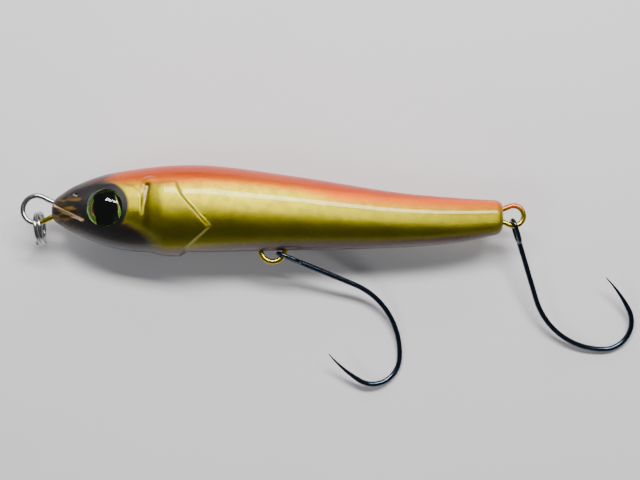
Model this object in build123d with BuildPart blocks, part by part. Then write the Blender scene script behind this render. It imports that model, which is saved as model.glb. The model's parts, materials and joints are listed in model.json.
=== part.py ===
from build123d import *
from math import acos, asin, atan2, copysign, cos, degrees, hypot, pi, radians, sin
import os

os.makedirs("parts", exist_ok=True)

# A hard minnow lure that lies on its right flank: nose at -X, tail at +X, back at +Y, left flank up.
# While it is being built, the nose tip is at X 0, the nose line at Y 0 and the middle plane at Z 0.

# ---------------------------------------------------------------- driving dimensions, in mm
# Body form, as shares of its length and of its largest height or width.
body_length = 85.0
back_rise = 8.7
belly_drop = 7.9
body_half_width = 6.1
section_fullness = 2.1
nose_round = 0.7
tail_round = 1.1
back_shape = ((0, 0.22), (0.05, 0.55), (0.14, 0.84), (0.32, 1), (0.54, 0.75), (0.76, 0.41), (0.9, 0.28), (1, 0.22))
belly_shape = ((0, 0.24), (0.05, 0.55), (0.14, 0.91), (0.24, 1), (0.54, 0.95), (0.76, 0.89), (0.9, 0.77), (1, 0.55))
flank_shape = ((0, 0.3), (0.05, 0.56), (0.14, 0.83), (0.32, 1), (0.54, 0.9), (0.76, 0.69), (0.9, 0.5), (1, 0.38))
section_places = (0, 0.03, 0.07, 0.12, 0.18, 0.26, 0.35, 0.45, 0.56, 0.67, 0.78, 0.88, 0.95, 1)
section_points = 16

# Foil skin with its lacquer, and the raised gill covers.
skin_thickness = 0.4
gill_rise = 0.8
gill_front = 17.4
gill_ramp = 4.6
gill_sink = 0.15
gill_margin = 3.0
gill_sections = 13
gill_top = (23.9, 4.6)
gill_notch = (25.1, 2.1)
gill_rear = (30.2, -3.5)
gill_foot = 22.3

# Eyes.
eye_diameter = 7.0
eye_x = 10.7
eye_y = 0.1
eye_tilt = 9.0
eye_seat_depth = 0.9
eye_disc_thickness = 0.3
eye_skirt = 0.5
eye_dome_height = 1.4
eye_clearance = 0.05

# Wire through the body, with a loop at the nose, the belly and the tail.
wire_diameter = 1.0
wire_clearance = 0.05
nose_loop_radius = 2.6
nose_loop_reach = 3.1
nose_loop_y = 0.25
nose_leg_gap = 2.2
belly_loop_radius = 2.3
belly_loop_x = 41.6
belly_loop_depth = 0.25
tail_loop_radius = 1.9
tail_loop_reach = 2.1
tail_loop_y = -0.95
tail_leg_gap = 1.9
leg_start = 0.6
leg_length = 12.0
leg_bend = 2.5
run_bend = 1.9

# Lead inside the body.
weight_clearance = 0.1
belly_weight_diameter = 5.0
belly_weight_length = 12.0
belly_weight_x = 28.0
rear_weight_diameter = 3.4
rear_weight_length = 10.0
rear_weight_x = 58.0

# Split ring, two turns of round wire.
ring_inner_diameter = 5.0
ring_wire = 0.72
ring_turn_gap = 0.05
ring_turns = 1.95
ring_angle = -85.0
ring_lean = 0.8
ring_seat_gap = 0.12

# Single hooks.
hook_wire = 1.0
hook_eye_wire = 0.8
hook_eye_length = 5.3
hook_eye_width = 3.4
hook_shank = 16.3
hook_bend_radius = 14.3
hook_bend_turn = 72.0
hook_throat_radius = 5.2
hook_throat_turn = 118.0
hook_point_radius = 26.0
hook_point_turn = 17.5
hook_point_diameter = 0.16
hook_point_sections = 6
hook_ground_gap = 0.05
hook_seat_gap = 0.12
belly_hook_angle = -21.5
belly_hook_seat = -35.6
tail_hook_angle = -72.0
tail_hook_seat = -105.0


# ---------------------------------------------------------------- body form
def outline(shape, height):
    """Smooth line from nose to tail through shares of the body's length and of one height."""
    return Spline(*[(share * body_length, part * height) for share, part in shape])


back_line = outline(back_shape, back_rise)
belly_line = outline(belly_shape, -belly_drop)
flank_line = outline(flank_shape, body_half_width)


def height_at(line, x):
    """Height of an outline at the distance x from the nose."""
    low, high = 0.0, 1.0
    while high - low > 1e-7:
        middle = (low + high) / 2
        if line.position_at(middle).X < x:
            low = middle
        else:
            high = middle
    return line.position_at(low).Y


def body_section(x, rise):
    """Slightly full oval across the body at x, grown by rise all round."""
    top = height_at(back_line, x) + rise
    bottom = height_at(belly_line, x) - rise
    half_height = (top - bottom) / 2
    half_width = height_at(flank_line, x) + rise
    corners = []
    for step in range(section_points):
        angle = 2 * pi * step / section_points
        across = copysign(abs(cos(angle)) ** (2 / section_fullness), cos(angle))
        out = copysign(abs(sin(angle)) ** (2 / section_fullness), sin(angle))
        corners.append((half_height * across, half_width * out))
    plane = Plane((x, (top + bottom) / 2, 0), x_dir=(0, 1, 0), z_dir=(1, 0, 0))
    with BuildSketch(plane) as section:
        with BuildLine():
            Spline(*corners, periodic=True)
        make_face()
    return section.sketch


def body_form(inset):
    """Solid body form, moved in by inset on every side, with its two ends rounded."""
    start, end = inset, body_length - inset
    with BuildPart() as form:
        for share in section_places:
            add(body_section(start + share * (end - start), -inset))
        loft()
        ends = form.faces().filter_by(Axis.X)
        fillet(ends.sort_by(Axis.X)[0].edges(), nose_round - inset / 2)
        fillet(form.faces().filter_by(Axis.X).sort_by(Axis.X)[-1].edges(), tail_round - inset / 2)
    return form.part


outer_form = body_form(0)
core_form = body_form(skin_thickness)


# ---------------------------------------------------------------- through wire
def leg_corner(reach, radius, half_gap):
    """Distance of a leg's corner from its loop's centre, and the angle where the loop meets the leg."""
    corner = reach + leg_start
    meeting = degrees(atan2(half_gap, corner) + acos(radius / hypot(corner, half_gap)))
    return corner, meeting


nose_loop_x = -nose_loop_reach
tail_loop_x = body_length + tail_loop_reach
belly_loop_y = height_at(belly_line, belly_loop_x) + belly_loop_depth
nose_top_y = nose_loop_y + nose_leg_gap / 2
nose_run_y = nose_loop_y - nose_leg_gap / 2
tail_top_y = tail_loop_y + tail_leg_gap / 2
tail_run_y = tail_loop_y - tail_leg_gap / 2


def wire_route():
    """Centre line of the through wire: nose stub, nose loop, belly loop, tail loop, tail stub."""
    nose_corner, nose_meet = leg_corner(nose_loop_reach, nose_loop_radius, nose_leg_gap / 2)
    tail_corner, tail_meet = leg_corner(tail_loop_reach, tail_loop_radius, tail_leg_gap / 2)
    nose_corner_x = nose_loop_x + nose_corner
    tail_corner_x = tail_loop_x - tail_corner
    belly_front = belly_loop_x - belly_loop_radius
    belly_back = belly_loop_x + belly_loop_radius
    with BuildLine() as route:
        nose = CenterArc((nose_loop_x, nose_loop_y), nose_loop_radius, nose_meet, 360 - 2 * nose_meet)
        belly = CenterArc((belly_loop_x, belly_loop_y), belly_loop_radius, 180, 180)
        tail = CenterArc((tail_loop_x, tail_loop_y), tail_loop_radius, tail_meet - 180, 360 - 2 * tail_meet)
        FilletPolyline((leg_length, nose_top_y), (nose_corner_x, nose_top_y), nose @ 0, radius=leg_bend)
        FilletPolyline(
            nose @ 1,
            (nose_corner_x, nose_run_y),
            (belly_front, nose_run_y),
            belly @ 0,
            radius=(leg_bend, run_bend),
        )
        FilletPolyline(
            belly @ 1,
            (belly_back, tail_run_y),
            (tail_corner_x, tail_run_y),
            tail @ 0,
            radius=(run_bend, leg_bend),
        )
        FilletPolyline(
            tail @ 1,
            (tail_corner_x, tail_top_y),
            (body_length - leg_length, tail_top_y),
            radius=leg_bend,
        )
    return route.wire()


wire_line = wire_route()


def swept_wire(diameter):
    """Round bar along the through wire's centre line."""
    with BuildPart() as bar:
        with BuildSketch(Plane(wire_line @ 0, z_dir=wire_line % 0)):
            Circle(diameter / 2)
        sweep(path=wire_line)
    return bar.part


with BuildPart() as through_wire:
    add(swept_wire(wire_diameter))
wire_groove = swept_wire(wire_diameter + 2 * wire_clearance)


# ---------------------------------------------------------------- lead weights
def weight_bar(diameter, length, x, run_y, clearance):
    """Round bar of lead along the body, midway between the wire above it and the belly, grown by clearance."""
    wire_underside = run_y - wire_diameter / 2
    core_belly = height_at(belly_line, x) + skin_thickness
    axis_y = (wire_underside + core_belly) / 2
    with BuildPart() as bar:
        with BuildSketch(Plane((x - length / 2 - clearance, axis_y, 0), x_dir=(0, 1, 0), z_dir=(1, 0, 0))):
            Circle(diameter / 2 + clearance)
        extrude(amount=length + 2 * clearance)
    return bar.part


belly_weight_size = (belly_weight_diameter, belly_weight_length, belly_weight_x, nose_run_y)
rear_weight_size = (rear_weight_diameter, rear_weight_length, rear_weight_x, tail_run_y)
with BuildPart() as belly_weight:
    add(weight_bar(*belly_weight_size, 0))
with BuildPart() as rear_weight:
    add(weight_bar(*rear_weight_size, 0))


# ---------------------------------------------------------------- eyes
def eye_plane(side, rise):
    """Plane across an eye's axis, rise above the floor of its socket; side is 1 for left, -1 for right."""
    tilt = radians(eye_tilt)
    outward = Vector(-sin(tilt), 0, side * cos(tilt))
    seat = Vector(eye_x, eye_y, side * (height_at(flank_line, eye_x) - eye_seat_depth))
    return Plane(seat + outward * rise, x_dir=(0, 1, 0), z_dir=outward)


def eye_socket(side):
    """Round pocket that an eye sits in."""
    with BuildPart() as pocket:
        with BuildSketch(eye_plane(side, 0)):
            Circle(eye_diameter / 2 + eye_clearance)
        extrude(amount=body_half_width)
    return pocket.part


def eye_disc(side):
    """Printed disc on the socket's floor."""
    with BuildPart() as disc:
        with BuildSketch(eye_plane(side, 0)):
            Circle(eye_diameter / 2)
        extrude(amount=eye_disc_thickness)
    return disc.part


def eye_dome(side):
    """Clear dome on the disc: a short skirt with a round cap."""
    seat = eye_plane(side, eye_disc_thickness)
    profile_plane = Plane(seat.origin, x_dir=seat.x_dir, z_dir=seat.x_dir.cross(seat.z_dir))
    edge = eye_diameter / 2
    cap_radius = (edge**2 + eye_dome_height**2) / (2 * eye_dome_height)
    top = eye_skirt + eye_dome_height
    with BuildPart() as dome:
        with BuildSketch(profile_plane):
            with BuildLine():
                Polyline((0, top), (0, 0), (edge, 0), (edge, eye_skirt))
                RadiusArc((0, top), (edge, eye_skirt), cap_radius)
            make_face()
        revolve(axis=Axis(seat.origin, seat.z_dir))
    return dome.part


# ---------------------------------------------------------------- body halves, skins and gill covers
def one_side(form, side):
    """The half of a solid on one side of the middle plane."""
    with BuildPart() as half:
        add(form)
        split(bisect_by=Plane.XY, keep=Keep.TOP if side > 0 else Keep.BOTTOM)
    return half.part


def cut_core():
    """Wooden core with the wire's groove and the weights' pockets, before it is split."""
    with BuildPart() as core:
        add(core_form)
        add(wire_groove, mode=Mode.SUBTRACT)
        add(weight_bar(*belly_weight_size, weight_clearance), mode=Mode.SUBTRACT)
        add(weight_bar(*rear_weight_size, weight_clearance), mode=Mode.SUBTRACT)
    return core.part


def cut_skin():
    """Foil and lacquer all over the core, open where the wire comes out, before it is parted."""
    with BuildPart() as skin:
        add(outer_form)
        add(core_form, mode=Mode.SUBTRACT)
        add(wire_groove, mode=Mode.SUBTRACT)
    return skin.part


def with_eye_socket(form, side):
    """One side of a form, cut out for its eye."""
    with BuildPart() as half:
        add(one_side(form, side))
        add(eye_socket(side), mode=Mode.SUBTRACT)
    return half.part


def gill_rise_at(x):
    """Height of the gill cover above the flank: from just under it at the front, up a smooth ramp."""
    share = min(max((x - gill_front) / gill_ramp, 0), 1)
    return share**2 * (3 - 2 * share) * (gill_rise + gill_sink) - gill_sink


def cheek_form():
    """Body form from ahead of the gill cover to behind it, grown by the cover's height."""
    start = gill_front - gill_margin
    end = gill_rear[0] + gill_margin
    with BuildPart() as cheek:
        for step in range(gill_sections):
            x = start + (end - start) * step / (gill_sections - 1)
            add(body_section(x, gill_rise_at(x)))
        loft()
    return cheek.part


def gill_plate(side):
    """Raised gill cover: the grown cheek inside the cover's outline, less the flank under it."""
    front = gill_front - gill_margin / 2
    low = -belly_drop - 2 * gill_rise
    with BuildPart() as plate:
        with BuildSketch(Plane.XY):
            with BuildLine():
                Polyline(
                    (gill_foot, low),
                    (front, low),
                    (front, gill_top[1]),
                    gill_top,
                    gill_notch,
                    gill_rear,
                    (gill_foot, low),
                )
            make_face()
        extrude(amount=side * 2 * body_half_width)
        add(cheek, mode=Mode.INTERSECT)
        add(outer_form, mode=Mode.SUBTRACT)
    return plate.part


core = cut_core()
skin = cut_skin()
cheek = cheek_form()
with BuildPart() as body_left_half:
    add(with_eye_socket(core, 1))
with BuildPart() as body_right_half:
    add(with_eye_socket(core, -1))
with BuildPart() as foil_skin_left:
    add(with_eye_socket(skin, 1))
with BuildPart() as foil_skin_right:
    add(with_eye_socket(skin, -1))
with BuildPart() as gill_plate_left:
    add(gill_plate(1))
with BuildPart() as gill_plate_right:
    add(gill_plate(-1))
with BuildPart() as eye_disc_left:
    add(eye_disc(1))
with BuildPart() as eye_disc_right:
    add(eye_disc(-1))
with BuildPart() as eye_dome_left:
    add(eye_dome(1))
with BuildPart() as eye_dome_right:
    add(eye_dome(-1))


# ---------------------------------------------------------------- split ring
def split_ring():
    """Two close turns of round wire, upright and in line with the nose loop's radius, hung over its wire."""
    angle = radians(ring_angle)
    radial = Vector(cos(angle), sin(angle), 0)
    axis = radial.cross(Vector(0, 0, 1))
    reach = (ring_inner_diameter - wire_diameter) / 2 - ring_seat_gap
    drop = (reach**2 - ring_lean**2) ** 0.5
    centre = Vector(nose_loop_x, nose_loop_y, -drop) + radial * (nose_loop_radius + ring_lean)
    pitch = ring_wire + ring_turn_gap
    height = pitch * ring_turns
    with BuildPart() as ring:
        with BuildLine() as turns:
            Helix(pitch, height, (ring_inner_diameter + ring_wire) / 2, centre - axis * (height / 2), axis)
        line = turns.wire()
        with BuildSketch(Plane(line @ 0, z_dir=line % 0)):
            Circle(ring_wire / 2)
        sweep(path=line, is_frenet=True)
    return ring.part


with BuildPart() as nose_split_ring:
    add(split_ring())


# ---------------------------------------------------------------- hooks
ground_z = gill_plate_right.part.bounding_box().min.Z
hook_turn_end = hook_shank + hook_bend_radius * sin(radians(hook_bend_turn))
hook_length = hook_turn_end + hook_throat_radius * (1 - sin(radians(hook_bend_turn)))


def hook_plane(centre_x, centre_y, loop_radius, seat_angle, angle, gap_side):
    """Plane of a hook hung on a wire loop: X down the shank from the eye's end, Y towards the point.

    The end of its eye bears on the inside of the loop and the outside of its bend touches the ground.
    """
    hold = (wire_diameter + hook_eye_wire) / 2 + hook_seat_gap
    sine = (-ground_z - hook_wire / 2 - hook_ground_gap) / (hook_length - hook_eye_wire / 2 - hold)
    tilt = asin(sine)
    turn = radians(angle)
    seat = radians(seat_angle)
    shank = Vector(cos(turn) * cos(tilt), sin(turn) * cos(tilt), -sine)
    up = Vector(cos(turn) * sine, sin(turn) * sine, cos(tilt))
    bar_radius = loop_radius - hold
    bar = Vector(centre_x + bar_radius * cos(seat), centre_y + bar_radius * sin(seat), hold * sine)
    return Plane(bar - shank * (hook_eye_wire / 2), x_dir=shank, z_dir=up * gap_side)


def hook_eye():
    """Oval ring across the hook's plane, from the hook's origin along X."""
    reach = (hook_eye_width - hook_eye_wire) / 2
    far = hook_eye_wire / 2 + reach
    near = hook_eye_length - hook_eye_wire / 2 - reach
    with BuildPart() as eye:
        with BuildSketch(Plane.YZ.offset(far)):
            with Locations((0, reach), (0, -reach)):
                Circle(hook_eye_wire / 2)
        extrude(amount=near - far)
        for x, turning in ((near, 1), (far, -1)):
            with BuildSketch(Plane.YZ.offset(x)):
                with Locations((0, reach)):
                    Circle(hook_eye_wire / 2)
            revolve(axis=Axis((x, 0, 0), (0, turning, 0)), revolution_arc=180)
    return eye.part


def bent_bar(arc, radius, turn):
    """Round hook wire along an arc that turns left in the hook's plane."""
    start, along = arc @ 0, arc % 0
    with BuildPart() as bar:
        with BuildSketch(Plane(start, z_dir=along)):
            Circle(hook_wire / 2)
        revolve(axis=Axis(start + Vector(-along.Y, along.X) * radius, (0, 0, 1)), revolution_arc=turn)
    return bar.part


def hook_form():
    """Barbless single hook in its own plane: eye, shank along X, wide bend towards Y and a tapered point."""
    neck = hook_eye_length - hook_eye_wire / 2
    with BuildLine():
        shank = Line((neck, 0), (hook_shank, 0))
        bend = JernArc(shank @ 1, shank % 1, hook_bend_radius, hook_bend_turn)
        throat = JernArc(bend @ 1, bend % 1, hook_throat_radius, hook_throat_turn)
        point = JernArc(throat @ 1, throat % 1, hook_point_radius, hook_point_turn)
    with BuildPart() as taper:
        for step in range(hook_point_sections):
            share = step / (hook_point_sections - 1)
            with BuildSketch(Plane(point @ share, z_dir=point % share)):
                Circle((hook_wire + (hook_point_diameter - hook_wire) * share) / 2)
        loft()
    with BuildPart() as bent:
        with BuildSketch(Plane.YZ.offset(neck)):
            Circle(hook_wire / 2)
        extrude(amount=hook_shank - neck)
        add(bent_bar(bend, hook_bend_radius, hook_bend_turn))
        add(bent_bar(throat, hook_throat_radius, hook_throat_turn))
        add(taper.part)
        add(hook_eye())
    return bent.part


hook = hook_form()
belly_hook_plane = hook_plane(
    belly_loop_x, belly_loop_y, belly_loop_radius, belly_hook_seat, belly_hook_angle, -1
)
tail_hook_plane = hook_plane(tail_loop_x, tail_loop_y, tail_loop_radius, tail_hook_seat, tail_hook_angle, 1)
with BuildPart() as belly_hook:
    add(hook.moved(belly_hook_plane.location))
with BuildPart() as tail_hook:
    add(hook.moved(tail_hook_plane.location))


# ---------------------------------------------------------------- pieces, stood on the ground
pieces = {
    "body_left_half": body_left_half,
    "body_right_half": body_right_half,
    "foil_skin_left": foil_skin_left,
    "foil_skin_right": foil_skin_right,
    "gill_plate_left": gill_plate_left,
    "gill_plate_right": gill_plate_right,
    "eye_disc_left": eye_disc_left,
    "eye_disc_right": eye_disc_right,
    "eye_dome_left": eye_dome_left,
    "eye_dome_right": eye_dome_right,
    "through_wire": through_wire,
    "belly_weight": belly_weight,
    "rear_weight": rear_weight,
    "nose_split_ring": nose_split_ring,
    "belly_hook": belly_hook,
    "tail_hook": tail_hook,
}
boxes = [piece.part.bounding_box() for piece in pieces.values()]
low = [min(getattr(box.min, axis) for box in boxes) for axis in "XYZ"]
high = [max(getattr(box.max, axis) for box in boxes) for axis in "XYZ"]
origin = Vector(-(low[0] + high[0]) / 2, -(low[1] + high[1]) / 2, -low[2])
for name, piece in pieces.items():
    piece.part = piece.part.moved(Location(origin))
    piece.part.label = name
    export_step(piece.part, f"parts/{name}.step")
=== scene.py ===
import json
from math import atan2, cos, hypot, pi, radians, sin, sqrt

import bpy
from bpy.props import FloatProperty, FloatVectorProperty, IntProperty, PointerProperty
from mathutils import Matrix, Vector


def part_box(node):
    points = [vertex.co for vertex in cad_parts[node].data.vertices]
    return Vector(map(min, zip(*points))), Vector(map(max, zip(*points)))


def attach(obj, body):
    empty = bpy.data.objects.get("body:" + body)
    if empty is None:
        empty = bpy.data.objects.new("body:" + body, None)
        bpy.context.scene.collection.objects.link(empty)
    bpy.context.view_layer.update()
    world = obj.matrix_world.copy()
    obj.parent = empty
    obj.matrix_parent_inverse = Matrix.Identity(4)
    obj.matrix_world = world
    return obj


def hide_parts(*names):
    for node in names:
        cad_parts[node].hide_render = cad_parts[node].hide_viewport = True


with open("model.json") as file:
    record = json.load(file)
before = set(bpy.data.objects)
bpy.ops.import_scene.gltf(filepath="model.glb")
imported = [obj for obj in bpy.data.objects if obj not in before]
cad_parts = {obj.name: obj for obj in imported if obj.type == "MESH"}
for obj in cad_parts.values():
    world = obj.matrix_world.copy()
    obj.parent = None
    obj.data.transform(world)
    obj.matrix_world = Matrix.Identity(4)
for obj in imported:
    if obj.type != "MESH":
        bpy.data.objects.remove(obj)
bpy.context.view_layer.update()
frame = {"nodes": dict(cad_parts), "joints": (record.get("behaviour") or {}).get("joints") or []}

bl_info = {
    "name": "Foil minnow lure",
    "version": (1, 0, 0),
    "blender": (4, 5, 0),
    "location": "View3D > Sidebar > Lure",
    "description": "Builds the looks of a foil minnow lure around its packed frame",
    "category": "Object",
}

MM = 0.001
JOINTS = {joint["name"]: joint for joint in frame["joints"]}
SKIN_LOW, SKIN_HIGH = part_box("foil_skin_left")
NOSE_LOOP = Vector(JOINTS["split_ring_swing"]["pos_m"])
BELLY_LOOP = Vector(JOINTS["belly_hook_swing"]["pos_m"])
TAIL_LOOP = Vector(JOINTS["tail_hook_swing"]["pos_m"])
BODY_LENGTH = SKIN_HIGH.x - SKIN_LOW.x

# Body form, as shares of the length and of the largest height or width.
BACK_SHAPE = (
    (0, 0.22), (0.05, 0.55), (0.14, 0.84), (0.32, 1),
    (0.54, 0.75), (0.76, 0.41), (0.9, 0.28), (1, 0.22),
)
BELLY_SHAPE = (
    (0, 0.24), (0.05, 0.55), (0.14, 0.91), (0.24, 1),
    (0.54, 0.95), (0.76, 0.89), (0.9, 0.77), (1, 0.55),
)
FLANK_SHAPE = (
    (0, 0.3), (0.05, 0.56), (0.14, 0.83), (0.32, 1),
    (0.54, 0.9), (0.76, 0.69), (0.9, 0.5), (1, 0.38),
)
# How far apart the rings of faces stand in a rounded end, and how the end caps close, as shares.
END_STEPS = (0, 0.04, 0.14, 0.32, 0.6)
CAP_STEPS = (0.3, 0.65)

# Relief and paint on the flank, in millimetres from the nose tip and the nose line.
GILL_OUTLINE = ((17.4, 4.6), (23.9, 4.6), (25.1, 2.1), (30.2, -3.5), (22.3, -9.5))
GILL_AREA = GILL_OUTLINE + ((17.4, -9.5),)
CHEEK_OUTLINE = ((9.0, 4.7), (13.0, 4.75), (16.0, 4.0), (17.5, 2.5), (17.9, 0.5), (17.3, -3.5))
CHEEK_AREA = CHEEK_OUTLINE + ((9.0, -3.5),)
CHEEK_SHARE = 0.34
KNOB_AT, KNOB_SIZE, KNOB_SHARE = (18.9, 5.1), (1.5, 1.0), 0.45
MOUTH_LINE = ((0.4, 0.9), (3.0, -0.4), (6.4, -2.1))
NOSTRIL_AT = (4.9, 2.6)
RELIEF_END = 34
BACK_LINE = ((0, 5.2), (12, 4.4), (20, 4.4), (33, 4.3), (44, 3.3), (55, 1.2), (69, 0.1), (85, -0.2))
BELLY_LINE = ((0, -5.0), (12, -6.4), (22, -7.6), (30, -6.9), (42, -6.2), (65, -5.7), (85, -3.9))
PAINT_LENGTH = 85.0
WEAVE_PITCH = 0.38
# Centre of the near-black ring round the eye, which is partly black paint and partly painted shade
# of the eye's recess.
EYE_SURROUND_AT = (10.5, 0.35)
# Reach of the smoked nose as shares of its longest, from the belly up to the back.
SMOKE_SHAPE = ((0.12, 0.92), (0.3, 0.7), (0.45, 0.42), (0.62, 0.4), (0.8, 0.5))
SMOKE_REACH = 20.0


# ---------------------------------------------------------------- sizes and colours
class LureBodySizes(bpy.types.PropertyGroup):
    back_rise: FloatProperty(
        name="Back rise", description="Back above the nose line",
        default=8.7 * MM, unit="LENGTH",
    )
    belly_drop: FloatProperty(
        name="Belly drop", description="Belly below it",
        default=7.9 * MM, unit="LENGTH",
    )
    half_width: FloatProperty(
        name="Half width", description="Flank from the middle",
        default=6.1 * MM, unit="LENGTH",
    )
    nose_lift: FloatProperty(
        name="Nose loop lift", description="Loop above the nose line",
        default=0.25 * MM, unit="LENGTH",
    )
    nose_round: FloatProperty(
        name="Nose rounding", description="Radius of the nose's edge",
        default=0.8 * MM, unit="LENGTH",
    )
    tail_round: FloatProperty(
        name="Tail rounding", description="Radius of the tail's edge",
        default=1.3 * MM, unit="LENGTH",
    )
    gill_rise: FloatProperty(
        name="Gill rise", description="Height of the gill cover's edge",
        default=0.75 * MM, unit="LENGTH",
    )
    gill_ramp: FloatProperty(
        name="Gill ramp", description="Length of its rise behind the cheek",
        default=4.6 * MM, unit="LENGTH",
    )
    gill_edge: FloatProperty(
        name="Gill edge", description="Softness of its rear edge",
        default=0.55 * MM, unit="LENGTH",
    )
    groove_depth: FloatProperty(
        name="Groove depth", description="Depth of creases and mouth",
        default=0.4 * MM, unit="LENGTH",
    )
    weave_radius: FloatProperty(
        name="Weave radius", description="Mean radius the weave wraps",
        default=6.2 * MM, unit="LENGTH",
    )
    eye_tilt: FloatProperty(
        name="Eye tilt", description="Eye's lean to the front, in degrees",
        default=9,
    )
    eye_radius: FloatProperty(
        name="Eye radius", description="Radius of the eye's dome",
        default=3.5 * MM, unit="LENGTH",
    )
    rings: IntProperty(name="Rings", description="Rings of faces along the body", default=96)
    sides: IntProperty(
        name="Sides", description="Faces round the body before smoothing",
        default=56,
    )


def share_curve(shape, share):
    """Smooth value of a shape at a share of the length."""
    last = len(shape) - 2
    step = max(i for i in range(last + 1) if shape[i][0] <= share or i == 0)

    def slope(i):
        low, high = shape[max(i - 1, 0)], shape[min(i + 1, last + 1)]
        return (high[1] - low[1]) / (high[0] - low[0])

    (x0, y0), (x1, y1) = shape[step], shape[step + 1]
    width = x1 - x0
    t = (share - x0) / width
    start = (2 * t**3 - 3 * t**2 + 1) * y0 + (t**3 - 2 * t**2 + t) * width * slope(step)
    return start + (3 * t**2 - 2 * t**3) * y1 + (t**3 - t**2) * width * slope(step + 1)


def smooth_step(low, high, value):
    """0 at low, 1 at high, an S curve between and level beyond; low may be the larger."""
    t = min(max((value - low) / (high - low), 0), 1)
    return t * t * (3 - 2 * t)


def body_origin(sizes):
    """Point where the nose tip, the nose line and the middle plane meet."""
    return Vector((SKIN_LOW.x, NOSE_LOOP.y - sizes.nose_lift, NOSE_LOOP.z))


def body_section(sizes, x):
    """Centre height, half height and half width at x past the nose tip, ends rounded."""
    share = min(max(x / BODY_LENGTH, 0), 1)
    top = share_curve(BACK_SHAPE, share) * sizes.back_rise
    bottom = -share_curve(BELLY_SHAPE, share) * sizes.belly_drop
    half_width = share_curve(FLANK_SHAPE, share) * sizes.half_width
    inset = 0
    for distance, radius in ((x, sizes.nose_round), (BODY_LENGTH - x, sizes.tail_round)):
        if distance < radius:
            inset = radius - sqrt(max(radius**2 - (radius - distance) ** 2, 0))
    return (top + bottom) / 2, (top - bottom) / 2 - inset, half_width - inset


# ---------------------------------------------------------------- modelling helpers
def only(obj):
    """Makes obj the one selected, active object."""
    bpy.ops.object.select_all(action="DESELECT")
    obj.select_set(True)
    bpy.context.view_layer.objects.active = obj


def apply_modifier(obj, kind, **settings):
    """Adds a modifier with these settings and applies it."""
    only(obj)
    bpy.ops.object.modifier_add(type=kind)
    modifier = obj.modifiers[-1]
    for name, value in settings.items():
        setattr(modifier, name, value)
    bpy.ops.object.modifier_apply(modifier=modifier.name)


def set_material(obj, material):
    """Puts one material on all of obj."""
    obj.data.materials.clear()
    obj.data.materials.append(material)


def edge_distance(points, u, v):
    """Shortest distance from (u, v) to a line through points."""
    best = None
    for (x0, y0), (x1, y1) in zip(points, points[1:]):
        along = ((u - x0) * (x1 - x0) + (v - y0) * (y1 - y0)) / ((x1 - x0) ** 2 + (y1 - y0) ** 2)
        along = min(max(along, 0), 1)
        distance = hypot(u - x0 - along * (x1 - x0), v - y0 - along * (y1 - y0))
        best = distance if best is None else min(best, distance)
    return best


def inside(points, u, v):
    """Whether (u, v) lies inside the closed outline through points."""
    odd = False
    for (x0, y0), (x1, y1) in zip(points, points[1:] + points[:1]):
        if (y0 > v) != (y1 > v) and u < x0 + (v - y0) * (x1 - x0) / (y1 - y0):
            odd = not odd
    return odd


# ---------------------------------------------------------------- lacquered body
def ring_stations(sizes):
    """Distances of the body's rings past the nose tip, closer together at the rounded ends."""
    nose = [step * sizes.nose_round for step in END_STEPS]
    tail = [BODY_LENGTH - step * sizes.tail_round for step in reversed(END_STEPS)]
    span = BODY_LENGTH - sizes.tail_round - sizes.nose_round
    middle = [sizes.nose_round + span * i / sizes.rings for i in range(sizes.rings + 1)]
    return nose + middle + tail


def body_blank(sizes):
    """Smooth body form, extruded ring by ring from nose to tail."""
    origin = body_origin(sizes)
    rings = [(x, *body_section(sizes, x), 1) for x in ring_stations(sizes)]
    nose_cap = [(*rings[0][:4], share) for share in CAP_STEPS]
    tail_cap = [(*rings[-1][:4], share) for share in reversed(CAP_STEPS)]
    rings = nose_cap + rings + tail_cap
    x, centre, height, width, size = rings[0]
    middle = origin + Vector((x, centre, 0))
    bpy.ops.object.select_all(action="DESELECT")
    bpy.ops.mesh.primitive_circle_add(
        vertices=sizes.sides, radius=1, location=middle, rotation=(0, pi / 2, 0)
    )
    blank = bpy.context.object
    bpy.ops.object.transform_apply(location=True, rotation=True, scale=True)
    bpy.ops.object.mode_set(mode="EDIT")
    bpy.ops.mesh.select_all(action="SELECT")
    bpy.ops.transform.resize(value=(1, height * size, width * size), center_override=middle)
    last = (height * size, width * size)
    for x, centre, height, width, size in rings[1:]:
        step = origin + Vector((x, centre, 0)) - middle
        middle = middle + step
        bpy.ops.mesh.extrude_region_move(TRANSFORM_OT_translate={"value": step})
        now = (height * size, width * size)
        growth = (1, now[0] / last[0], now[1] / last[1])
        bpy.ops.transform.resize(value=growth, center_override=middle)
        last = now
    bpy.ops.mesh.select_all(action="SELECT")
    bpy.ops.mesh.fill_holes(sides=0)
    bpy.ops.mesh.normals_make_consistent(inside=False)
    bpy.ops.object.mode_set(mode="OBJECT")
    apply_modifier(blank, "SUBSURF", levels=2, render_levels=2)
    return blank


def depth_inside(outline, area, u, v):
    """How far (u, v) lies inside area, measured to its outline; negative outside."""
    distance = edge_distance(outline, u, v)
    return distance if inside(area, u, v) else -distance


def raised_share(sizes, u, v):
    """Share of the gill cover's height, u past the nose and v above the nose line."""
    soft = sizes.gill_edge / MM / 2
    front = GILL_OUTLINE[0][0]
    cover = smooth_step(-soft, soft, depth_inside(GILL_OUTLINE, GILL_AREA, u, v))
    cover *= smooth_step(front, front + sizes.gill_ramp / MM, u)
    cheek = CHEEK_SHARE * smooth_step(-0.3, 0.3, depth_inside(CHEEK_OUTLINE, CHEEK_AREA, u, v))
    cheek = cheek * smooth_step(8.5, 13, u) * smooth_step(-3.4, 0, v)
    knob_u, knob_v = ((w - at) / size for w, at, size in zip((u, v), KNOB_AT, KNOB_SIZE))
    knob = KNOB_SHARE * max(1 - knob_u**2 - knob_v**2, 0)
    return min(max(cover, cheek) + knob, 1)


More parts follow.
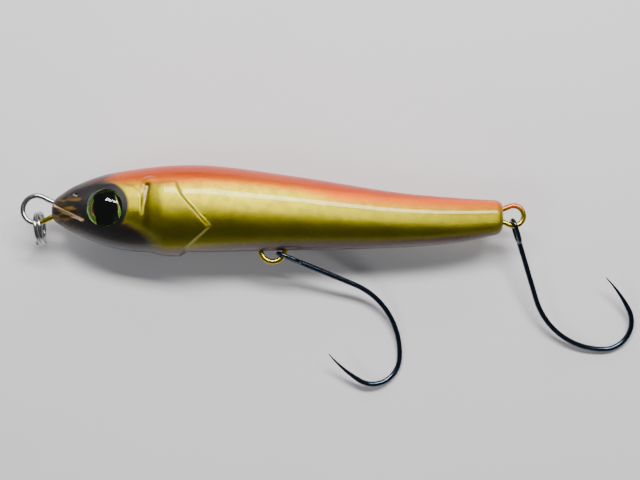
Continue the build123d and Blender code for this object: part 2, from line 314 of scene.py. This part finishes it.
def sunk_share(u, v):
    """Share of the deepest groove: the crease behind the cheek, the mouth and the nostril."""
    crease = smooth_step(0.75, 0, abs(u - 18.3 - 0.12 * (v - 3)))
    crease = crease * smooth_step(-1.5, 1, v) * smooth_step(5, 4, v)
    mouth = smooth_step(0.5, 0, edge_distance(MOUTH_LINE, u, v))
    nostril = smooth_step(0.55, 0, hypot(u - NOSTRIL_AT[0], v - NOSTRIL_AT[1]))
    return max(crease, mouth, nostril)


def dress_body(sizes, body):
    """Raises the gill covers, sinks the grooves and lays a map over the body for its woven foil."""
    origin = body_origin(sizes)
    raised = body.vertex_groups.new(name="raised")
    sunk = body.vertex_groups.new(name="sunk")
    for vertex in body.data.vertices:
        u, v = (vertex.co.x - origin.x) / MM, (vertex.co.y - origin.y) / MM
        up = raised_share(sizes, u, v) if u < RELIEF_END else 0
        down = sunk_share(u, v) if u < RELIEF_END else 0
        if up > 0:
            raised.add([vertex.index], up, "REPLACE")
        if down > 0:
            sunk.add([vertex.index], down, "REPLACE")
    apply_modifier(body, "DISPLACE", strength=sizes.gill_rise, mid_level=0, vertex_group="raised")
    apply_modifier(body, "DISPLACE", strength=-sizes.groove_depth, mid_level=0, vertex_group="sunk")
    weave = body.data.uv_layers.new(name="weave")
    for polygon in body.data.polygons:
        turn = None
        for index in polygon.loop_indices:
            spot = body.data.vertices[body.data.loops[index].vertex_index].co - origin
            angle = atan2(spot.z, spot.y)
            if turn is not None and angle - turn > pi:
                angle -= 2 * pi
            elif turn is not None and turn - angle > pi:
                angle += 2 * pi
            turn = angle
            weave.data[index].uv = (spot.x / MM, angle * sizes.weave_radius / MM)


def cut_eye_holes(sizes, body):
    """Opens the skin where each eye sits, down to the eye's disc."""
    for side, node in ((1, "eye_disc_left"), (-1, "eye_disc_right")):
        low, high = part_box(node)
        axis = Vector((-sin(radians(sizes.eye_tilt)), 0, side * cos(radians(sizes.eye_tilt))))
        depth = 2 * sizes.eye_radius
        bpy.ops.object.select_all(action="DESELECT")
        bpy.ops.mesh.primitive_cylinder_add(
            vertices=96,
            radius=sizes.eye_radius * 1.008,
            depth=depth,
            location=(low + high) / 2 + axis * (depth / 2 - 0.1 * MM),
            rotation=axis.to_track_quat("Z", "Y").to_euler(),
        )
        cutter = bpy.context.object
        apply_modifier(body, "BOOLEAN", operation="DIFFERENCE", object=cutter, solver="EXACT")
        bpy.data.objects.remove(cutter, do_unlink=True)


# ---------------------------------------------------------------- finishes
class LureColours(bpy.types.PropertyGroup):
    back: FloatVectorProperty(
        name="Back", description="Candy lacquer", subtype="COLOR",
        default=(0.62, 0.018, 0.001),
    )
    foil: FloatVectorProperty(
        name="Foil", description="Lit gold foil", subtype="COLOR",
        default=(0.62, 0.5, 0.001),
    )
    # Dark gold: painted shade on the lower flank, the shaded copy of the lit foil above; it also
    # colours random darker patches in the foil.
    foil_shade_and_patches: FloatVectorProperty(
        name="Low foil", description="Gold low down", subtype="COLOR",
        default=(0.15, 0.135, 0.0015),
    )
    belly: FloatVectorProperty(
        name="Belly", description="Mauve underside", subtype="COLOR",
        default=(0.055, 0.022, 0.022),
    )
    head: FloatVectorProperty(
        name="Head", description="Smoked nose", subtype="COLOR",
        default=(0.006, 0.003, 0.0025),
    )
    iris: FloatVectorProperty(
        name="Iris", description="Printed eye", subtype="COLOR",
        default=(0.3, 0.62, 0.03),
    )
    hook: FloatVectorProperty(
        name="Hook", description="Black nickel", subtype="COLOR",
        default=(0.06, 0.085, 0.12),
    )
    steel: FloatVectorProperty(
        name="Steel", description="Bright steel", subtype="COLOR",
        default=(0.56, 0.57, 0.58),
    )


class Finish:
    """One material under construction: each call adds a node and gives back its output."""

    def __init__(self, name):
        self.material = bpy.data.materials.new(name)
        self.material.use_nodes = True
        self.tree = self.material.node_tree
        self.tree.nodes.clear()
        self.output = self.tree.nodes.new("ShaderNodeOutputMaterial")

    def plug(self, socket, value):
        """Links value to socket where it is another node's output, and sets it otherwise."""
        if isinstance(value, bpy.types.NodeSocket):
            self.tree.links.new(value, socket)
        else:
            socket.default_value = value

    def node(self, kind, settings=None, **sockets):
        """A node with these settings. Sockets go by name in lower case, or by place as i0, i1."""
        node = self.tree.nodes.new("ShaderNode" + kind)
        for name, value in (settings or {}).items():
            setattr(node, name, value)
        for name, value in sockets.items():
            if name[0] == "i" and name[1:].isdigit():
                socket = node.inputs[int(name[1:])]
            else:
                socket = next(i for i in node.inputs if i.name.lower().replace(" ", "_") == name)
            self.plug(socket, value)
        return node

    def math(self, operation, a, b=0.0):
        """One arithmetic step."""
        return self.node("Math", {"operation": operation}, i0=a, i1=b).outputs[0]

    def times(self, a, b):
        return self.math("MULTIPLY", a, b)

    def plus(self, a, b):
        return self.math("ADD", a, b)

    def minus(self, a, b):
        return self.math("SUBTRACT", a, b)

    def length(self, along, up):
        """Distance from the middle in the flank's plane."""
        flat = self.node("CombineXYZ", x=along, y=up).outputs[0]
        return self.node("VectorMath", {"operation": "LENGTH"}, i0=flat).outputs["Value"]

    def ramp(self, value, low, high, to_low=0.0, to_high=1.0):
        """A smooth rise from to_low to to_high while value goes from low to high."""
        settings = {"interpolation_type": "SMOOTHSTEP"}
        node = self.node("MapRange", settings, i0=value, i1=low, i2=high, i3=to_low, i4=to_high)
        return node.outputs[0]

    def curve(self, value, points, span):
        """A curve of height against length in millimetres, through points."""
        node = self.node("FloatCurve", i1=self.math("DIVIDE", value, span))
        line = node.mapping.curves[0]
        for x, y in points[1:-1]:
            line.points.new(x / span, y / 20 + 0.5)
        for end, (x, y) in ((0, points[0]), (-1, points[-1])):
            line.points[end].location = (x / span, y / 20 + 0.5)
        node.mapping.update()
        return self.times(self.minus(node.outputs[0], 0.5), 20.0)

    def mix(self, share, a, b):
        """Colour a where share is 0 and b where it is 1."""
        a, b = (tuple(c) + (1,) if not isinstance(c, bpy.types.NodeSocket) else c for c in (a, b))
        return self.node("Mix", {"data_type": "RGBA"}, i0=share, i6=a, i7=b).outputs[2]

    def place(self, origin):
        """Millimetres from origin, whole and as separate lengths along, up and out."""
        where = self.node("TexCoord").outputs["Object"]
        location = tuple(-c / MM for c in origin)
        scaled = self.node("Mapping", i0=where, i1=location, i3=(1 / MM,) * 3).outputs[0]
        return scaled, self.node("SeparateXYZ", i0=scaled).outputs

    def noise(self, vector, scale, detail=3.0, stretch=None):
        """Cloudy noise from 0 to 1; stretch scales the pattern along each axis."""
        if stretch:
            vector = self.node("Mapping", i0=vector, i3=stretch).outputs[0]
        return self.node("TexNoise", vector=vector, scale=scale, detail=detail).outputs[0]

    def bump(self, height, distance, strength):
        """Surface direction over a relief of this height."""
        return self.node("Bump", height=height, distance=distance, strength=strength).outputs[0]

    def coated(self, **sockets):
        """Closes the material with one Principled shader."""
        shader = self.node("BsdfPrincipled", **sockets).outputs[0]
        self.plug(self.output.inputs[0], shader)
        return self.material


def lacquer_finish(sizes, colours):
    """Woven gold foil under clear lacquer, with a candy back, a mauve belly and a smoked head;
    painted shade darkens the lower flank, the crease behind the cheek and part of the ring round
    the eye, and painted highlights lighten the weave.
    """
    paint = Finish("lacquered_foil")
    spot, (along, up, _) = paint.place(body_origin(sizes))
    spray = paint.times(paint.minus(paint.noise(spot, 2.2, 4.0), 0.5), 1.6)
    cloud = paint.noise(spot, 0.16, 2.0)
    patch = paint.noise(spot, 0.55, 3.0)

    around = paint.node("UVMap", {"uv_map": "weave"}).outputs[0]
    weave = paint.node("SeparateXYZ", i0=around).outputs
    turns = 2 * pi / WEAVE_PITCH
    warp = paint.math("SINE", paint.times(weave[0], turns))
    weft = paint.math("SINE", paint.times(weave[1], turns))
    cross = paint.times(warp, weft)
    cloth = paint.plus(paint.times(cross, 0.5), paint.times(patch, 1.2))

    # Painted shade: the foil darkens from the upper flank down towards the belly.
    painted_shade_low = paint.ramp(paint.plus(up, spray), 3.2, -5.2)
    foil = paint.mix(painted_shade_low, colours.foil, colours.foil_shade_and_patches)
    # Random darker patches in the crinkled foil, in the same dark gold.
    foil = paint.mix(paint.ramp(patch, 0.42, 0.62, 0.0, 0.35), foil, colours.foil_shade_and_patches)
    # Painted highlight: bright gold laid on the weave's raised crossings.
    painted_glint = paint.ramp(cross, -0.9, 0.9, 0.0, 0.22)
    foil = paint.mix(painted_glint, foil, (0.95, 0.86, 0.07))

    above = paint.minus(up, paint.curve(along, BACK_LINE, PAINT_LENGTH))
    above = paint.plus(above, paint.times(spray, 0.8))
    above = paint.plus(above, paint.times(cross, 0.35))
    back = paint.ramp(above, -1.1, 1.5)
    candy = paint.mix(paint.ramp(above, 0.5, 4.5), (0.8, 0.13, 0.004), colours.back)
    colour = paint.mix(back, foil, candy)

    below = paint.minus(paint.curve(along, BELLY_LINE, PAINT_LENGTH), up)
    belly = paint.ramp(paint.plus(below, paint.times(spray, 0.5)), -0.7, 0.7)
    colour = paint.mix(belly, colour, colours.belly)

    smoke_line = paint.node("FloatCurve", i1=paint.ramp(up, -9.0, 9.0))
    for x, y in SMOKE_SHAPE:
        smoke_line.mapping.curves[0].points.new(x, y)
    smoke_line.mapping.curves[0].points[0].location = (0, 1)
    smoke_line.mapping.curves[0].points[-1].location = (1, 0.6)
    smoke_line.mapping.update()
    reach = paint.times(smoke_line.outputs[0], SMOKE_REACH)
    ahead = paint.plus(paint.minus(reach, along), paint.times(spray, 1.4))
    smoke = paint.ramp(ahead, -2.8, 1.6)
    streaks = paint.noise(spot, 0.8, 3.0, stretch=(0.35, 1.6, 1.0))
    streaks = paint.times(paint.ramp(streaks, 0.46, 0.66), paint.ramp(up, -4.5, -1.0))
    streaks = paint.times(streaks, paint.ramp(up, 3.2, 1.0))
    nose = paint.mix(paint.times(streaks, 0.8), colours.head, (0.16, 0.085, 0.005))
    nose = paint.mix(paint.ramp(up, 3.5, 6.5, 0.0, 0.7), nose, (0.075, 0.012, 0.006))
    colour = paint.mix(smoke, colour, nose)
    # Near-black ring round the eye: partly black paint, partly painted shade standing for the
    # shadow in the eye's recess.
    from_eye = paint.length(
        paint.minus(along, EYE_SURROUND_AT[0]), paint.minus(up, EYE_SURROUND_AT[1])
    )
    eye_ring_paint_and_shade = paint.ramp(from_eye, 5.0, 4.35)
    colour = paint.mix(eye_ring_paint_and_shade, colour, (0.004, 0.004, 0.004))
    # Painted shade: dark olive laid along the crease behind the cheek.
    crease = paint.math("ABSOLUTE", paint.minus(along, 18.4))
    crease = paint.times(paint.ramp(crease, 1.5, 0.2, 0.0, 0.6), paint.ramp(up, -5.0, -2.0))
    crease = paint.times(crease, paint.ramp(up, 5.5, 4.0))
    colour = paint.mix(crease, colour, (0.05, 0.04, 0.004))

    opaque = paint.math("MAXIMUM", paint.math("MAXIMUM", eye_ring_paint_and_shade, smoke), belly)
    metal = paint.minus(1.0, paint.times(opaque, 0.9))
    metal = paint.minus(metal, paint.times(back, 0.22))
    rough = paint.plus(0.3, paint.times(cloud, 0.14))
    normal = paint.bump(cloth, 0.055 * MM, strength=0.75)
    gloss = paint.bump(paint.noise(spot, 0.12, 2.0), 0.12 * MM, strength=0.5)
    return paint.coated(
        base_color=colour, metallic=metal, roughness=rough, normal=normal,
        coat_weight=0.6, coat_roughness=0.04, coat_ior=1.42, coat_normal=gloss,
    )


def eye_finish(colours):
    """Printed metallic iris with a dark red rim round a black pupil."""
    paint = Finish("eye_print")
    low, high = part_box("eye_disc_left")
    centre = (low + high) / 2
    centre.z = NOSE_LOOP.z
    _, (along, up, _) = paint.place(centre)
    flat = paint.node("CombineXYZ", x=along, y=up).outputs[0]
    radius = paint.length(along, up)
    angle = paint.math("ARCTAN2", up, along)
    rays = paint.node("CombineXYZ", x=paint.times(angle, 14.0), y=radius).outputs[0]
    rays = paint.noise(rays, 1.0, 3.0)
    shade = paint.noise(flat, 0.3, 1.0)
    iris = paint.mix(paint.ramp(rays, 0.35, 0.7), (0.1, 0.26, 0.02), colours.iris)
    iris = paint.mix(paint.ramp(radius, 2.55, 2.8, 0.8, 0.0), iris, (0.75, 0.8, 0.22))
    iris = paint.mix(paint.ramp(radius, 2.98, 3.12), iris, (0.09, 0.2, 0.02))
    iris = paint.mix(paint.ramp(radius, 3.2, 3.28), iris, (0.5, 0.82, 0.12))
    rim = paint.mix(paint.ramp(shade, 0.4, 0.6), (0.3, 0.035, 0.03), (0.09, 0.008, 0.008))
    colour = paint.mix(paint.ramp(radius, 2.62, 2.5), iris, rim)
    colour = paint.mix(paint.ramp(radius, 2.38, 2.2), colour, (0.002, 0.002, 0.003))
    metal = paint.ramp(radius, 2.5, 2.6, 0.0, 0.25)
    return paint.coated(
        base_color=colour, metallic=metal, roughness=0.3,
        normal=paint.bump(rays, 0.02 * MM, strength=0.5),
    )


def resin_finish():
    """Clear domed resin: see-through head on, mirroring at its edge, with a few polishing waves."""
    paint = Finish("clear_resin")
    spot, _ = paint.place(BELLY_LOOP)
    normal = paint.bump(paint.noise(spot, 0.35, 2.0), 0.05 * MM, strength=0.5)
    share = paint.node("Fresnel", ior=1.42, normal=normal).outputs[0]
    front = paint.minus(1.0, paint.node("NewGeometry").outputs["Backfacing"])
    share = paint.times(share, front)
    clear = paint.node("BsdfTransparent", color=(0.97, 1, 0.96, 1)).outputs[0]
    white = (1, 1, 1, 1)
    shine = paint.node("BsdfAnisotropic", color=white, roughness=0.04, normal=normal).outputs[0]
    mixed = paint.node("MixShader", i0=share, i1=clear, i2=shine).outputs[0]
    paint.plug(paint.output.inputs[0], mixed)
    return paint.material


def metal_finish(name, colour, tint, rough, overspray=None):
    """Drawn metal with cloudy tarnish and fine scratches; overspray is lacquer caught on it."""
    paint = Finish(name)
    spot, (along, up, _) = paint.place(SKIN_LOW)
    cloud = paint.noise(spot, 0.9, 4.0)
    scratch = paint.noise(spot, 6.0, 2.0, stretch=(1.0, 1.0, 0.12))
    surface = paint.mix(paint.ramp(cloud, 0.35, 0.7), colour, tint)
    metal, roughness = 1.0, paint.ramp(cloud, 0.3, 0.75, rough, rough + 0.14)
    if overspray:
        loop_up = NOSE_LOOP.y / MM - SKIN_LOW.y / MM
        near_nose = paint.times(
            paint.ramp(along, -6.5, 2.0), paint.ramp(up, loop_up - 0.4, loop_up - 1.9)
        )
        past_nose = paint.ramp(along, 1.0, 2.0)
        gold = paint.math("MAXIMUM", near_nose, past_nose)
        ragged = paint.plus(gold, paint.times(paint.minus(cloud, 0.5), 0.9))
        gold = paint.ramp(ragged, 0.3, 0.6)
        surface = paint.mix(gold, surface, overspray)
        tail_up = TAIL_LOOP.y / MM - SKIN_LOW.y / MM
        at_tail = paint.ramp(along, 84.0, 85.5)
        top = paint.times(at_tail, paint.ramp(up, tail_up + 0.5, tail_up + 1.9))
        surface = paint.mix(top, surface, (0.6, 0.12, 0.03))
        metal = paint.minus(1.0, paint.times(top, 0.4))
    return paint.coated(
        base_color=surface, metallic=metal, roughness=roughness,
        normal=paint.bump(scratch, 0.01 * MM, strength=0.4),
    )


def wood_finish():
    """Pale turned wood with growth rings and fine pores, under the foil."""
    paint = Finish("turned_wood")
    spot, _ = paint.place(SKIN_LOW)
    stretched = paint.node("Mapping", i0=spot, i3=(0.06, 0.7, 1.0)).outputs[0]
    rings = paint.node("TexWave", vector=stretched, scale=1.4, distortion=3.5, detail=3.0)
    rings = rings.outputs[1]
    pores = paint.noise(spot, 2.0, 4.0, stretch=(0.1, 1.0, 1.0))
    colour = paint.mix(rings, (0.62, 0.42, 0.22), (0.44, 0.26, 0.12))
    colour = paint.mix(paint.ramp(pores, 0.5, 0.75, 0.0, 0.5), colour, (0.25, 0.13, 0.06))
    rough = paint.ramp(pores, 0.3, 0.7, 0.55, 0.8)
    normal = paint.bump(pores, 0.05 * MM, strength=1.0)
    return paint.coated(base_color=colour, roughness=rough, normal=normal)


# ---------------------------------------------------------------- studio
LIGHTS_AIM = (0, 0, 0.007)
FLOOR_SIZE = 4
WORLD_COLOUR, WORLD_STRENGTH = (0.85, 0.88, 0.95, 1), 0.11
LENS, SENSOR_WIDTH = 65, 36
CAMERA_TILT, CAMERA_DISTANCE = radians(5), 0.218
CAMERA_AIM = Vector((0.0505, -0.00555, 0))


# ---------------------------------------------------------------- operators
class LURE_OT_body(bpy.types.Operator):
    """Builds the lacquered foil body, with its gill covers, grooves and eye holes"""

    bl_idname = "lure.body"
    bl_label = "Lacquered body"

    def execute(self, context):
        sizes, colours = context.scene.lure_sizes, context.scene.lure_colours
        body = body_blank(sizes)
        dress_body(sizes, body)
        cut_eye_holes(sizes, body)
        only(body)
        bpy.ops.object.shade_smooth_by_angle(angle=radians(50))
        body.name = body.data.name = "lacquered_body"
        set_material(body, lacquer_finish(sizes, colours))
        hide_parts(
            "foil_skin_left", "foil_skin_right", "gill_plate_left", "gill_plate_right"
        )
        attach(body, "lure_body")
        return {"FINISHED"}


class LURE_OT_eyes(bpy.types.Operator):
    """Finishes the printed eyes and their clear domes"""

    bl_idname = "lure.eyes"
    bl_label = "Eyes"

    def execute(self, context):
        iris = eye_finish(context.scene.lure_colours)
        resin = resin_finish()
        for side in ("left", "right"):
            set_material(frame["nodes"]["eye_disc_" + side], iris)
            set_material(frame["nodes"]["eye_dome_" + side], resin)
        return {"FINISHED"}


class LURE_OT_hardware(bpy.types.Operator):
    """Finishes the through wire, the split ring and both hooks"""

    bl_idname = "lure.hardware"
    bl_label = "Wire, ring and hooks"

    def execute(self, context):
        colours = context.scene.lure_colours
        dull = tuple(c * 0.55 for c in colours.steel)
        nodes = frame["nodes"]
        gold, blue = (0.5, 0.4, 0.03), (0.03, 0.045, 0.075)
        wire = metal_finish("loop_wire", colours.steel, dull, 0.16, overspray=gold)
        ring = metal_finish("ring_steel", colours.steel, dull, 0.14)
        hooks = metal_finish("black_nickel", colours.hook, blue, 0.13)
        set_material(nodes["through_wire"], wire)
        set_material(nodes["nose_split_ring"], ring)
        for name in ("belly_hook", "tail_hook"):
            set_material(nodes[name], hooks)
        return {"FINISHED"}


class LURE_OT_core(bpy.types.Operator):
    """Finishes the hidden wooden halves and the weights"""

    bl_idname = "lure.core"
    bl_label = "Core and weights"

    def execute(self, context):
        wood = wood_finish()
        lead = metal_finish("cast_lead", (0.2, 0.2, 0.21), (0.11, 0.11, 0.12), 0.45)
        for name in ("body_left_half", "body_right_half"):
            set_material(frame["nodes"][name], wood)
        for name in ("belly_weight", "rear_weight"):
            set_material(frame["nodes"][name], lead)
        return {"FINISHED"}


def floor_finish():
    """Plain pale floor with a trace of mottle."""
    paint = Finish("pale_floor")
    spot, _ = paint.place(Vector((0, 0, 0)))
    mottle = paint.noise(spot, 0.02, 3.0)
    colour = paint.mix(mottle, (0.62, 0.6, 0.62), (0.68, 0.67, 0.68))
    return paint.coated(base_color=colour, roughness=0.85)


def soft_light(name, location, size, power, colour, mirrored=True):
    """Rectangular studio light on the lure; unless mirrored, it leaves no shape in the gloss."""
    lamp = bpy.data.lights.new(name, "AREA")
    lamp.shape = "RECTANGLE"
    lamp.size, lamp.size_y = size
    lamp.energy, lamp.color = power, colour
    holder = bpy.data.objects.new(name, lamp)
    bpy.context.scene.collection.objects.link(holder)
    holder.location = location
    holder.visible_glossy = mirrored
    towards = Vector(LIGHTS_AIM) - Vector(location)
    holder.rotation_euler = towards.to_track_quat("-Z", "Y").to_euler()


class LURE_OT_stage(bpy.types.Operator):
    """Sets the pale floor, the soft lights and the camera"""

    bl_idname = "lure.stage"
    bl_label = "Floor, lights and camera"

    def execute(self, context):
        bpy.ops.object.select_all(action="DESELECT")
        bpy.ops.mesh.primitive_plane_add(size=FLOOR_SIZE, location=(0, 0, 0))
        floor = bpy.context.object
        floor.name = "floor"
        set_material(floor, floor_finish())
        soft_light("key", (0.03, 0.2, 0.3), (0.34, 0.07), 2.6, (1, 0.98, 0.95))
        soft_light("back", (0.0, 0.45, 0.2), (0.6, 0.2), 1.1, (1, 0.97, 0.94), mirrored=False)
        soft_light("front", (-0.3, -0.25, 0.4), (0.2, 0.2), 0.9, (0.95, 0.97, 1), mirrored=False)
        world = bpy.data.worlds.new("studio")
        world.use_nodes = True
        background = world.node_tree.nodes["Background"]
        background.inputs[0].default_value = WORLD_COLOUR
        background.inputs[1].default_value = WORLD_STRENGTH
        context.scene.world = world
        lens = bpy.data.cameras.new("camera")
        lens.lens, lens.sensor_width = LENS, SENSOR_WIDTH
        lens.clip_start = 0.01
        camera = bpy.data.objects.new("camera", lens)
        context.scene.collection.objects.link(camera)
        aim = body_origin(context.scene.lure_sizes) + CAMERA_AIM
        back_off = Vector((0, -sin(CAMERA_TILT), cos(CAMERA_TILT)))
        camera.location = aim + back_off * CAMERA_DISTANCE
        camera.rotation_euler = (CAMERA_TILT, 0, 0)
        context.scene.camera = camera
        return {"FINISHED"}


STEPS = (LURE_OT_body, LURE_OT_eyes, LURE_OT_hardware, LURE_OT_core, LURE_OT_stage)


class LURE_PT_panel(bpy.types.Panel):
    """Steps that build the lure"""

    bl_idname = "LURE_PT_panel"
    bl_label = "Foil minnow lure"
    bl_space_type = "VIEW_3D"
    bl_region_type = "UI"
    bl_category = "Lure"

    def draw(self, context):
        for step in STEPS:
            self.layout.operator(step.bl_idname)


CLASSES = (LureBodySizes, LureColours, *STEPS, LURE_PT_panel)


def register():
    for cls in CLASSES:
        bpy.utils.register_class(cls)
    bpy.types.Scene.lure_sizes = PointerProperty(type=LureBodySizes)
    bpy.types.Scene.lure_colours = PointerProperty(type=LureColours)


def unregister():
    del bpy.types.Scene.lure_colours
    del bpy.types.Scene.lure_sizes
    for cls in reversed(CLASSES):
        bpy.utils.unregister_class(cls)


def main():
    register()
    bpy.ops.lure.body()
    bpy.ops.lure.eyes()
    bpy.ops.lure.hardware()
    bpy.ops.lure.core()
    bpy.ops.lure.stage()


if __name__ == "__main__":
    main()
